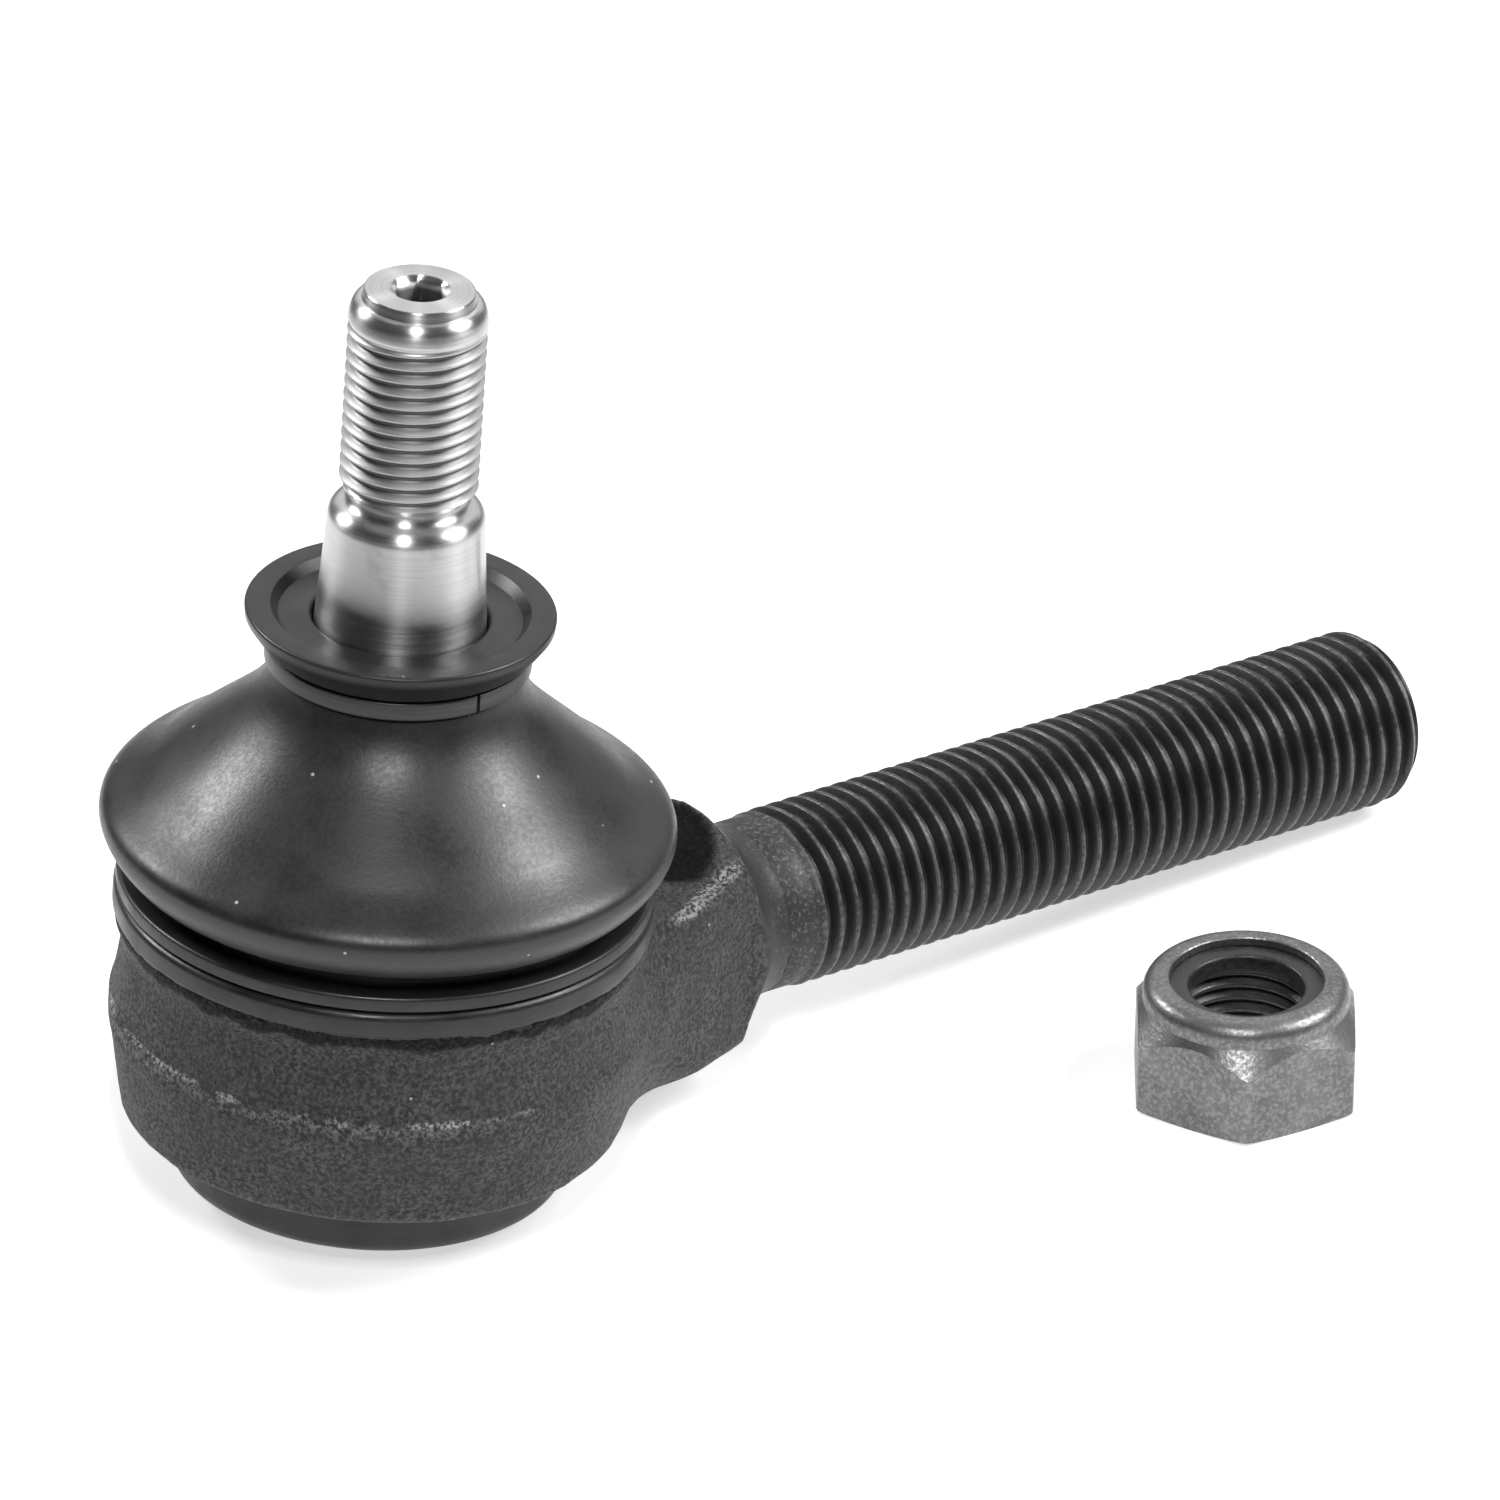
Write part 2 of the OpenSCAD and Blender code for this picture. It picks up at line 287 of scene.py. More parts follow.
class Finish:
    """One node material under construction, on object coordinates in millimetres."""

    def __init__(self, name):
        self.material = bpy.data.materials.new(name)
        self.material.use_nodes = True
        self.tree = self.material.node_tree
        self.shader = self.tree.nodes["Principled BSDF"]
        coordinates = self.node("ShaderNodeTexCoord").outputs["Object"]
        self.place = self.scaled(coordinates, (1 / MM, 1 / MM, 1 / MM))

    def node(self, kind, **settings):
        made = self.tree.nodes.new(kind)
        for key, value in settings.items():
            setattr(made, key, value)
        return made

    def feed(self, socket, value):
        """Links another node's output to a socket, or sets it; one number also makes a grey."""
        if isinstance(value, bpy.types.NodeSocket):
            self.tree.links.new(value, socket)
        elif isinstance(value, (int, float)) and socket.type in ("RGBA", "VECTOR"):
            socket.default_value = ([value] * 3 + [1])[:len(socket.default_value)]
        else:
            socket.default_value = value

    def scaled(self, vector, factors):
        made = self.node("ShaderNodeVectorMath", operation="MULTIPLY")
        self.feed(made.inputs[0], vector)
        self.feed(made.inputs[1], factors)
        return made.outputs["Vector"]

    def moved(self, vector, offset):
        made = self.node("ShaderNodeVectorMath", operation="ADD")
        self.feed(made.inputs[0], vector)
        self.feed(made.inputs[1], offset)
        return made.outputs["Vector"]

    def length(self, vector):
        made = self.node("ShaderNodeVectorMath", operation="LENGTH")
        self.feed(made.inputs[0], vector)
        return made.outputs["Value"]

    def axis(self, vector, index):
        made = self.node("ShaderNodeSeparateXYZ")
        self.feed(made.inputs[0], vector)
        return made.outputs[index]

    def point(self, x, y, z):
        made = self.node("ShaderNodeCombineXYZ")
        for socket, value in zip(made.inputs, (x, y, z)):
            self.feed(socket, value)
        return made.outputs[0]

    def sum(self, operation, *values):
        made = self.node("ShaderNodeMath", operation=operation)
        for socket, value in zip(made.inputs, values):
            self.feed(socket, value)
        return made.outputs[0]

    def noise(self, size, detail=3, rough=0.55, at=None):
        """Cloudy pattern whose patches are about size millimetres across."""
        made = self.node("ShaderNodeTexNoise")
        self.feed(made.inputs["Vector"], self.place if at is None else at)
        made.inputs["Scale"].default_value = 0.7 / size
        made.inputs["Detail"].default_value = detail
        made.inputs["Roughness"].default_value = rough
        return made.outputs["Fac"]

    def ramp(self, value, low, high, to_low=0.0, to_high=1.0):
        """Smooth change from to_low to to_high while value goes from low to high."""
        made = self.node("ShaderNodeMapRange", interpolation_type="SMOOTHSTEP")
        self.feed(made.inputs["Value"], value)
        names = ("From Min", "From Max", "To Min", "To Max")
        for name, number in zip(names, (low, high, to_low, to_high)):
            made.inputs[name].default_value = number
        return made.outputs["Result"]

    def mix(self, factor, a, b):
        made = self.node("ShaderNodeMix", data_type="RGBA")
        self.feed(made.inputs["Factor"], factor)
        self.feed(made.inputs[6], a)
        self.feed(made.inputs[7], b)
        return made.outputs[2]

    def specks(self, spacing, size, share):
        """Mask of rare small dots, one in some of the cells of a loose grid."""
        cells = self.node("ShaderNodeTexVoronoi", feature="F1")
        self.feed(cells.inputs["Vector"], self.place)
        cells.inputs["Scale"].default_value = 1 / spacing
        chosen = self.sum("LESS_THAN", self.axis(cells.outputs["Color"], 0), share)
        dot = self.ramp(cells.outputs["Distance"], size / spacing * 0.5, size / spacing, 1.0, 0.0)
        return self.sum("MULTIPLY", chosen, dot)

    def rings(self, spacing, along_z=1.0, break_up=0.03):
        """Turning marks: a pattern that runs round the object's Z axis."""
        flat = self.scaled(self.place, (1, 1, 0))
        radius = self.length(flat)
        x, y, z = (self.axis(self.place, i) for i in range(3))
        at = self.point(self.sum("ADD", radius, self.sum("MULTIPLY", x, break_up)),
                        self.sum("MULTIPLY", y, break_up), self.sum("MULTIPLY", z, along_z))
        return self.noise(spacing, 4, 0.6, at)

    def rings_about_x(self, spacing):
        """Turning marks round the shank's axis."""
        across = self.length(self.scaled(self.moved(self.place, (0, 0, -SHANK_Z)), (0, 1, 1)))
        return self.noise(spacing, 4, 0.6, self.point(self.axis(self.place, 0), across, 0.0))

    def bump(self, *layers):
        """Layers of (pattern, depth in millimetres) stacked as a bump."""
        normal = None
        for pattern, depth in layers:
            made = self.node("ShaderNodeBump")
            made.inputs["Strength"].default_value = 1.0
            made.inputs["Distance"].default_value = depth * MM
            self.feed(made.inputs["Height"], pattern)
            if normal is not None:
                self.feed(made.inputs["Normal"], normal)
            normal = made.outputs["Normal"]
        self.feed(self.shader.inputs["Normal"], normal)

    def set(self, **values):
        for key, value in values.items():
            self.feed(self.shader.inputs[key.replace("_", " ")], value)
        return self.material


def forged_black():
    """Scale of a hot forging, blackened: grainy all over, smoother where it was machined."""
    f = Finish("forged_black")
    grain = f.noise(0.28, 4, 0.75)
    blotch = f.noise(3.5, 3)
    x = f.axis(f.place, 0)
    round_shank = f.scaled(f.moved(f.place, (0, 0, -SHANK_Z)), (0, 1, 1))
    # distance from the centre of the hollow's curve, less its radius: zero on the machined surface
    off_x = f.sum("SUBTRACT", NECK_END_X, x)
    off_r = f.sum("SUBTRACT", NECK_END_R + HOLLOW_R, f.length(round_shank))
    below = f.sum("SUBTRACT", f.length(f.point(off_x, off_r, 0.0)), HOLLOW_R)
    ragged = f.sum("MULTIPLY", f.sum("SUBTRACT", grain, 0.5), 0.25)
    cut = f.ramp(f.sum("ADD", below, ragged), 0.10, 0.28, 1, 0)
    cut = f.sum("MULTIPLY", cut, f.ramp(x, 32.4, 33))
    worn = f.node("ShaderNodeAttribute", attribute_name="worn").outputs["Fac"]
    # rubbed wear, with painted highlight along the parting ridge and its band on the drum's lit side
    rubbed = f.sum("MULTIPLY", f.ramp(worn, 0.25, 0.8), f.ramp(grain, 0.42, 0.62))
    dark = f.mix(f.ramp(grain, 0.38, 0.68), 0.005, 0.085)
    dark = f.mix(f.sum("MULTIPLY", f.ramp(blotch, 0.35, 0.65), 0.4), dark, 0.02)
    # painted shade: the neck's dish is painted near black
    deep = f.node("ShaderNodeAttribute", attribute_name="deep").outputs["Fac"]
    dark = f.mix(f.sum("MULTIPLY", deep, 0.92), dark, 0.002)
    machined = f.mix(f.rings_about_x(0.35), 0.01, 0.03)
    machined = f.mix(f.sum("MULTIPLY", f.ramp(grain, 0.5, 0.66), f.ramp(x, 35.5, 38.5)), machined, 0.07)
    colour = f.mix(cut, dark, machined)
    colour = f.mix(rubbed, colour, 0.42)
    colour = f.mix(f.specks(1.6, 0.17, 0.05), colour, 0.4)
    rough = f.mix(cut, f.ramp(grain, 0.3, 0.7, 0.75, 0.5), 0.5)
    rough = f.mix(rubbed, rough, 0.35)
    fine = f.sum("MULTIPLY", grain, f.ramp(cut, 0, 1, 1, 0.12))
    f.bump((f.noise(1.0, 2), 0.05), (fine, 0.17))
    # painted shade also turns the reflections down in the dish and below the bead
    shine = f.ramp(deep, 0, 1, 0.5, 0.08)
    return f.set(Base_Color=colour, Roughness=rough, Specular_IOR_Level=shine)


def machined_black(name, base, roughness):
    """Turned and blackened steel with fine rings."""
    f = Finish(name)
    marks = f.rings(0.16)
    blotch = f.noise(2.2, 3)
    colour = f.mix(f.ramp(marks, 0.3, 0.7), base * 0.7, base * 1.3)
    colour = f.mix(f.specks(2.6, 0.12, 0.05), colour, 0.4)
    f.bump((marks, 0.02), (f.noise(0.5, 3), 0.02))
    rough = f.ramp(blotch, 0.3, 0.7, roughness - 0.06, roughness + 0.08)
    return f.set(Base_Color=colour, Roughness=rough, Specular_IOR_Level=0.55)


def shank_black():
    """Blackened thread: roots painted darker as painted shade, crests rubbed a little bright."""
    f = Finish("shank_black")
    radius = f.length(f.scaled(f.place, (1, 1, 0)))
    grain = f.noise(0.35, 3, 0.6)
    blotch = f.noise(4.0, 3)
    crest = f.ramp(radius, SHANK_R - 0.22, SHANK_R - 0.02)
    rubbed = f.sum("MULTIPLY", crest, f.ramp(f.sum("ADD", grain, blotch), 0.86, 1.2))
    # painted shade: darker towards the thread's roots
    colour = f.mix(f.ramp(radius, SHANK_R - 0.9, SHANK_R - 0.1), 0.004, 0.016)
    colour = f.mix(f.ramp(grain, 0.3, 0.7, 0, 0.4), colour, 0.02)
    colour = f.mix(rubbed, colour, 0.09)
    # the plain band before the thread is duller, with small bright pits
    band = f.ramp(f.axis(f.place, 2), THREAD_X, THREAD_X + 1.5, 1, 0)
    colour = f.mix(f.sum("MULTIPLY", band, f.ramp(f.noise(0.28, 4, 0.75), 0.5, 0.66)), colour, 0.12)
    rough = f.sum("ADD", f.ramp(grain, 0.3, 0.7, 0.42, 0.3), f.sum("MULTIPLY", band, 0.18))
    f.bump((grain, 0.03), (f.noise(0.12, 2), 0.01))
    return f.set(Base_Color=colour, Roughness=rough, Specular_IOR_Level=0.6)


def bright_steel():
    """Turned bright steel of the ball stud, with fine tool marks round it."""
    f = Finish("bright_steel")
    marks = f.rings(0.10, 1.0, 0.01)
    coarse = f.rings(0.7, 1.0, 0.02)
    stain = f.noise(2.5, 3)
    z = f.axis(f.place, 2)
    radius = f.length(f.scaled(f.place, (1, 1, 0)))
    thread = f.sum("MULTIPLY", f.ramp(z, 65.5, 66.5), f.ramp(z, 80.6, 81.6, 1, 0))
    painted_root_shade = f.sum("MULTIPLY", thread, f.ramp(radius, 5.35, 5.8, 1, 0))
    colour = f.mix(f.ramp(marks, 0.3, 0.7), 0.58, 0.70)
    colour = f.mix(f.ramp(stain, 0.55, 0.75, 0, 0.35), colour, 0.3)
    # painted shade: the threaded stretch is painted darker, its roots darker still
    colour = f.mix(f.sum("MULTIPLY", thread, 0.5), colour, 0.42)
    colour = f.mix(f.sum("MULTIPLY", painted_root_shade, 0.8), colour, 0.12)
    # painted shade: the inside of the hexagon socket is painted dark
    inside = f.sum("MULTIPLY", f.ramp(z, TIP - 1.1, TIP - 0.5, 1, 0), f.ramp(radius, 2.3, 2.6, 1, 0))
    inside = f.sum("MULTIPLY", inside, f.ramp(z, TIP - 6, TIP - 5.5))
    colour = f.mix(f.sum("MULTIPLY", inside, 0.9), colour, 0.08)
    rough = f.sum("ADD", f.ramp(marks, 0.3, 0.7, 0.29, 0.35), f.sum("MULTIPLY", thread, 0.14))
    f.bump((marks, 0.003), (coarse, 0.004))
    # the tool marks run round the axis, so highlights stretch along it
    around = f.node("ShaderNodeTangent", direction_type="RADIAL", axis="Z").outputs[0]
    streaky = f.ramp(thread, 0, 1, 0.85, 0.25)
    return f.set(Base_Color=colour, Roughness=rough, Metallic=1.0, Anisotropic=streaky,
                 Anisotropic_Rotation=0.25, Tangent=around)


def boot_rubber():
    """Moulded black rubber with a waxy sheen, faint moulding rings and dust."""
    f = Finish("boot_rubber")
    grain = f.noise(0.3, 3, 0.6)
    cloud = f.noise(5.0, 3)
    marks = f.rings(0.8, 1.0, 0.02)
    rough = f.sum("ADD", f.ramp(cloud, 0.3, 0.7, 0.32, 0.41), f.ramp(grain, 0.35, 0.65, 0.0, 0.06))
    dust = f.specks(1.6, 0.20, 0.09)
    colour = f.mix(f.ramp(cloud, 0.3, 0.7), 0.012, 0.02)
    colour = f.mix(dust, colour, 0.5)
    f.bump((marks, 0.010), (grain, 0.016))
    return f.set(Base_Color=colour, Roughness=rough, Specular_IOR_Level=0.6)


def moulded_black():
    """Black moulded plastic of the flange with faint rings."""
    f = Finish("flange_black")
    base = 0.014
    marks = f.rings(0.35, 0.4, 0.01)
    grain = f.noise(0.25, 2)
    colour = f.mix(f.ramp(marks, 0.3, 0.7), base * 0.8, base * 1.2)
    colour = f.mix(f.specks(1.5, 0.15, 0.06), colour, 0.45)
    f.bump((marks, 0.012), (grain, 0.008))
    return f.set(Base_Color=colour, Roughness=f.ramp(f.noise(3.0), 0.3, 0.7, 0.34, 0.44),
                 Specular_IOR_Level=0.5)


def clip_black():
    """Oiled spring steel of the clip."""
    f = Finish("clip_steel")
    marks = f.rings(0.12, 3.0, 0.02)
    colour = f.mix(f.ramp(marks, 0.3, 0.7), 0.04, 0.08)
    f.bump((marks, 0.01))
    return f.set(Base_Color=colour, Roughness=0.38, Metallic=0.5)


def zinc():
    """Dull zinc plating of the nut, slightly mottled."""
    f = Finish("zinc_nut")
    grain = f.noise(0.28, 3, 0.6)
    cloud = f.noise(2.0, 3)
    radius = f.length(f.scaled(f.place, (1, 1, 0)))
    inside = f.ramp(radius, 6.3, 6.6, 1, 0)
    colour = f.mix(f.ramp(cloud, 0.3, 0.7), 0.14, 0.19)
    colour = f.mix(f.ramp(grain, 0.4, 0.7, 0, 0.5), colour, 0.36)
    # painted shade: darker inside the nut's bore
    colour = f.mix(f.sum("MULTIPLY", inside, 0.6), colour, 0.07)
    f.bump((grain, 0.03), (f.rings(0.2, 1.0, 0.02), 0.008))
    return f.set(Base_Color=colour, Roughness=f.ramp(grain, 0.3, 0.7, 0.46, 0.34), Metallic=0.85)


def nylon():
    """Dark nylon of the nut's locking ring."""
    f = Finish("insert_nylon")
    grain = f.noise(0.3, 3)
    colour = f.mix(f.ramp(grain, 0.3, 0.7), 0.012, 0.03)
    f.bump((f.rings(0.2), 0.02), (grain, 0.015))
    return f.set(Base_Color=colour, Roughness=f.ramp(grain, 0.3, 0.7, 0.35, 0.5))


def seat_plastic():
    """Pale acetal of the two seats, faintly clouded."""
    f = Finish("seat_plastic")
    grain = f.noise(0.4, 3)
    colour = f.mix(f.ramp(f.noise(4.0), 0.3, 0.7), (0.72, 0.69, 0.6, 1), (0.8, 0.78, 0.7, 1))
    f.bump((f.rings(0.3), 0.01), (grain, 0.01))
    return f.set(Base_Color=colour, Roughness=f.ramp(grain, 0.3, 0.7, 0.35, 0.5))


def spring_steel():
    """Tempered steel of the spring, bluish brown in patches."""
    f = Finish("spring_steel")
    marks = f.rings(0.15)
    colour = f.mix(f.ramp(f.noise(3.0), 0.3, 0.7), (0.2, 0.2, 0.23, 1), (0.3, 0.28, 0.26, 1))
    f.bump((marks, 0.01))
    return f.set(Base_Color=colour, Roughness=f.ramp(marks, 0.3, 0.7, 0.3, 0.42), Metallic=1.0)


# --------------------------------------------------------------
# Housing: forging, machined bead and threaded shank
# --------------------------------------------------------------

def outline_distance(outline, r, z):
    """Signed distance to a closed outline, negative inside."""
    best = np.full(r.shape, 1e9)
    inside = np.zeros(r.shape, bool)
    for (r0, z0), (r1, z1) in zip(outline, outline[1:] + outline[:1]):
        dr, dz = r1 - r0, z1 - z0
        t = np.clip(((r - r0) * dr + (z - z0) * dz) / max(dr * dr + dz * dz, 1e-12), 0, 1)
        best = np.minimum(best, np.hypot(r - r0 - t * dr, z - z0 - t * dz))
        if dz:
            inside ^= ((z0 > z) != (z1 > z)) & (r < dr * (z - z0) / dz + r0)
    return np.where(inside, -best, best)


def blend_union(a, b, width):
    """Union of two distance fields with a fillet."""
    share = np.clip(0.5 + 0.5 * (b - a) / width, 0, 1)
    return b * (1 - share) + a * share - width * share * (1 - share)


def turned_end_r(x):
    """Radius of the machined hollow at the neck's end, a curve that meets the shank flush."""
    left = np.clip(NECK_END_X - x, 0, HOLLOW_R)
    return NECK_END_R + HOLLOW_R - np.sqrt(np.maximum(HOLLOW_R ** 2 - left ** 2, 0))


def smooth_step(x, low, high):
    """0 below low, 1 above high and a smooth change between."""
    t = np.clip((x - low) / (high - low), 0, 1)
    return t * t * (3 - 2 * t)


def forging_shape():
    """The drum with its bore, and the square neck, as one mesh with the grain of a forging."""
    step = 0.36
    low, high = np.array((-24.6, -24.6, 1.4)), np.array((44.4, 24.6, 27.4))
    axes = [np.arange(low[k], high[k], step) for k in range(3)]
    x, y, z = np.meshgrid(*axes, indexing="ij")
    radius = np.hypot(x, y)
    outside = (
        [(0, DRUM_BOTTOM)]
        + arc(DRUM_R - 3.15, DRUM_BOTTOM + 1.7, 1.7, -90, -8)
        + [(DRUM_R - 0.25, BALL_Z - 1.5), (DRUM_R - 0.32, BALL_Z + 1), (DRUM_R - 1.05, 21.3)]
        + curve((DRUM_R - 1.05, 21.3), (DRUM_R - 1.1, 22.6), (DRUM_R - 0.35, 22.8), (DRUM_R - 0.15, 24.5))
        + [(DRUM_R - 0.9, 25.2), (DRUM_R - 0.9, 26.0), (0, 26.0)])
    hollow = [(0, 0), (CAP_R + 0.05, 0), (CAP_R + 0.05, CAP_TOP), (BORE_R, CAP_TOP), (BORE_R, BORE_TOP),
              (throat_r(23), 23), (throat_r(30), 30), (0, 30)]
    fine = 0.1
    r_line, z_line = np.arange(0, 52, fine), np.arange(0, 30, fine)
    r_grid, z_grid = np.meshgrid(r_line, z_line, indexing="ij")

    def looked_up(outline):
        table = outline_distance(outline, r_grid, z_grid)
        i, j = radius / fine, z / fine
        i0, j0 = i.astype(int), j.astype(int)
        a, b = i - i0, j - j0
        return ((1 - a) * (1 - b) * table[i0, j0] + a * (1 - b) * table[i0 + 1, j0]
                + (1 - a) * b * table[i0, j0 + 1] + a * b * table[i0 + 1, j0 + 1])

    # square neck, wider towards the drum, with rounded corners
    half_y = np.interp(x, (8, 15, 34, 40), (17.5, 15.5, 8.7, 8.4))
    middle = np.clip(1 - (y / 7.5) ** 2, 0, 1)
    half_z = np.interp(x, (15, 34, 40), (8.7, 8.4, 8.2)) + middle * np.interp(
        x, (15, 26, 29, 31.5, 34.6, 37), (0.6, 0.9, 1.6, 2.6, 3.0, 2.0))
    # dish in the neck's top, beside the raised rim of the hollow
    dish = np.clip(1 - ((x - DISH[0]) / DISH[2]) ** 2 - ((y - DISH[1]) / DISH[3]) ** 2, 0, 1)
    half_z = half_z - np.where(z > SHANK_Z, 1.7, 0) * dish
    corner = 1.5
    dy = np.abs(y) - half_y + corner
    dz = np.abs(z - SHANK_Z) - half_z + corner
    neck = np.hypot(np.maximum(dy, 0), np.maximum(dz, 0)) + np.minimum(np.maximum(dy, dz), 0) - corner
    across = np.hypot(y, z - SHANK_Z)
    hollow_cut = across - turned_end_r(x)
    neck = np.maximum(np.maximum(neck, hollow_cut * 0.8), np.maximum(6 - x, x - NECK_END_X))
    body = blend_union(looked_up(outside), neck, 4.5)
    # the fillet swells the neck's far end, which stays as machined
    body = np.where(x > 33, np.maximum(body, hollow_cut * 0.8), body)
    field = np.maximum(body, -looked_up(hollow))
    return surface_nets(field, low, step)


def roughen(made):
    """Uneven surface of the forging, its parting ridge, and masks of rubbed places, with painted highlight on the
    drum's lit side, and of painted shade.
    """
    mesh = made.data
    count = len(mesh.vertices)
    co, normal = np.zeros(count * 3), np.zeros(count * 3)
    mesh.vertices.foreach_get("co", co)
    mesh.vertices.foreach_get("normal", normal)
    co, normal = co.reshape(-1, 3) / MM, normal.reshape(-1, 3)
    radius = np.hypot(co[:, 0], co[:, 1])
    across = np.hypot(co[:, 1], co[:, 2] - SHANK_Z)
    machined = (co[:, 0] > 32.6) & (across > turned_end_r(co[:, 0]) - 0.12)
    outer = ~machined & ~((radius < 21) & (co[:, 0] < 18))
    lumps = np.array([noise.noise(Vector(c) / 5.0) * 0.16 + noise.noise(Vector(c) / 1.3) * 0.045
                      for c in co])
    # raised parting band round the drum, sharp above and soft below
    turn = np.arctan2(co[:, 1], co[:, 0])
    wander = np.array([noise.noise(Vector((math.cos(a) * 2.2, math.sin(a) * 2.2, 3.0))) for a in turn])
    ridge_z = BALL_Z + 1.0 + 0.4 * wander
    below = ridge_z - co[:, 2]
    step_out = 0.24 * smooth_step(below, -0.25, 0.35) * (1 - 0.8 * smooth_step(below, 1.7, 3.0))
    on_drum = (radius > 21.5) & (radius < 24.5) & (co[:, 0] < 17) & (normal[:, 2] ** 2 < 0.5)
    move = np.where(outer, lumps, 0) + np.where(on_drum & outer, step_out, 0)
    co += normal * move[:, None]
    mesh.vertices.foreach_set("co", (co * MM).astype(np.float32).ravel())
    # rubbed edges: where a vertex stands out of its neighbours' plane
    ends = np.zeros(len(mesh.edges) * 2, int)
    mesh.edges.foreach_get("vertices", ends)
    ends = ends.reshape(-1, 2)
    mean, share = np.zeros((count, 3)), np.zeros(count)
    for a, b in ((0, 1), (1, 0)):
        np.add.at(mean, ends[:, a], co[ends[:, b]])
        np.add.at(share, ends[:, a], 1)
    stand = ((co - mean / share[:, None]) * normal).sum(1)
    for _ in range(2):
        soft = np.zeros(count)
        for a, b in ((0, 1), (1, 0)):
            np.add.at(soft, ends[:, a], stand[ends[:, b]])
        stand = 0.5 * stand + 0.5 * soft / share
    worn = np.clip(stand / 0.05, 0, 1) * 0.5
    # the parting ridge, the ridges along the neck and the hollow's upper edge are rubbed bright; painted highlight
    # makes the ridge and the band under it brightest on the drum's lit left side
    patchy = np.array([0.55 + 0.9 * noise.noise(Vector(c) / 2.2) for c in co])
    at_ridge = np.exp(-((co[:, 2] - ridge_z) / 0.35) ** 2) * on_drum * outer
    start, end = np.array(NECK_RIDGE[0]), np.array(NECK_RIDGE[1])
    beside = np.stack([co[:, 0], -np.abs(co[:, 1]), co[:, 2]], 1) - start
    along = np.clip(beside @ (end - start) / ((end - start) @ (end - start)), 0, 1)
    off = np.linalg.norm(beside - along[:, None] * (end - start), axis=1)
    at_neck = 0.62 * smooth_step(-off, -1.4, -0.4) * (co[:, 0] > NECK_RIDGE[0][0])
    at_edge = (np.exp(-((across - turned_end_r(co[:, 0])) / 0.22) ** 2)
               * ((co[:, 0] > 33) & (co[:, 0] < 34.8)) * smooth_step(co[:, 2] - SHANK_Z, 0, 3))
    lit_left_side = 0.2 + 0.8 * smooth_step(-co[:, 0], -5, 8)
    # painted highlight: the raised band just under the ridge, which catches light, gets part of the rubbed colour
    lit_band_highlight = smooth_step(below, 0, 0.4) * (1 - smooth_step(below, 0.6, 3.0)) * on_drum * outer
    on_ridge = np.maximum(at_ridge * patchy, lit_band_highlight * 0.42) * lit_left_side
    worn = np.maximum(worn, np.maximum(on_ridge, np.maximum(at_neck, at_edge * 0.8)))
    # painted shade: the neck's dish, in the boot's shade, is marked to be painted near black
    spread = 1 - ((co[:, 0] - DISH[0]) / DISH[2] / 1.1) ** 2 - ((co[:, 1] - DISH[1]) / DISH[3] / 1.1) ** 2
    deep = smooth_step(spread, 0.0, 0.4) * (co[:, 2] > SHANK_Z)
    # painted shade: the forging at the turned bead above the groove is painted dark too, with an uneven lower edge
    ragged = np.array([0.7 * noise.noise(Vector(c) / 1.6) for c in co])
    on_bead = smooth_step(co[:, 2] + ragged, 22.9, 23.5) * (1 - smooth_step(co[:, 0], 8, 15))
    deep = np.maximum(deep, 0.8 * on_bead)
    for name, values in (("worn", worn), ("deep", deep)):
        attribute = mesh.attributes.new(name, "FLOAT", "POINT")
        attribute.data.foreach_set("value", values.astype(np.float32))
    mesh.update()


def make_housing():
    forging = piece("forging", forging_shape(), None, ["housing"], forged_black(),
                    sharp=180, weld=False)
    roughen(forging)
    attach(forging, "housing")

    # machined bead: the boot's seat, with the throat inside it
    low = BEAD_TOP - 2.3
    bead = turned(
        [(DRUM_R - 1.6, low - 0.6), (DRUM_R - 0.3, low - 0.45)]
        + arc(DRUM_R - 0.35, low + 0.35, 0.35, -70, 0, 3)
        + arc(DRUM_R - 0.7, BEAD_TOP - 0.7, 0.7, 0, 90, 5)
        + [(throat_r(BEAD_TOP), BEAD_TOP), (throat_r(26), 25.9), (DRUM_R - 1.6, 25.9)], 192)
    piece("forging_bead", bead, "housing", ["housing"],
          machined_black("bead_black", 0.008, 0.4))

    # threaded shank, drawn along +Z and laid along +X
    depth = 0.6134 * SHANK_PITCH
    start, end = THREAD_X, REACH

    def radius_at(z, phase):
        fade = smooth_step(z, start - 0.6, start + 0.9)
        r = SHANK_R - depth * thread_depth(phase) * fade
        r = np.minimum(r, NECK_END_R + 0.25 * smooth_step(z, start - 0.4, start + 0.4))
        chamfer = SHANK_R - 1.1 + (end - z) * 0.75
        return np.minimum(r, chamfer)

    columns = 128
    first = start - 0.8
    rod = joined(
        skin([ring(0, 38, columns), ring(6.2, 38, columns), ring(NECK_END_R, NECK_END_X - 0.02, columns),
              ring(NECK_END_R, first, columns)]),
        helix(first, end - 0.12, SHANK_PITCH, radius_at, columns),
        skin([ring(SHANK_R - 1.01, end - 0.12, columns), ring(SHANK_R - 1.15, end, columns),
              ring(3, end, columns), ring(0, end, columns)]))
    lay = Matrix.Translation((0, 0, SHANK_Z * MM)) @ Matrix.Rotation(math.pi / 2, 4, "Y")
    piece("threaded_shank", rod, "housing", ["housing"], shank_black(), place=lay, sharp=50)


# --------------------------------------------------------------
# Ball stud
# --------------------------------------------------------------

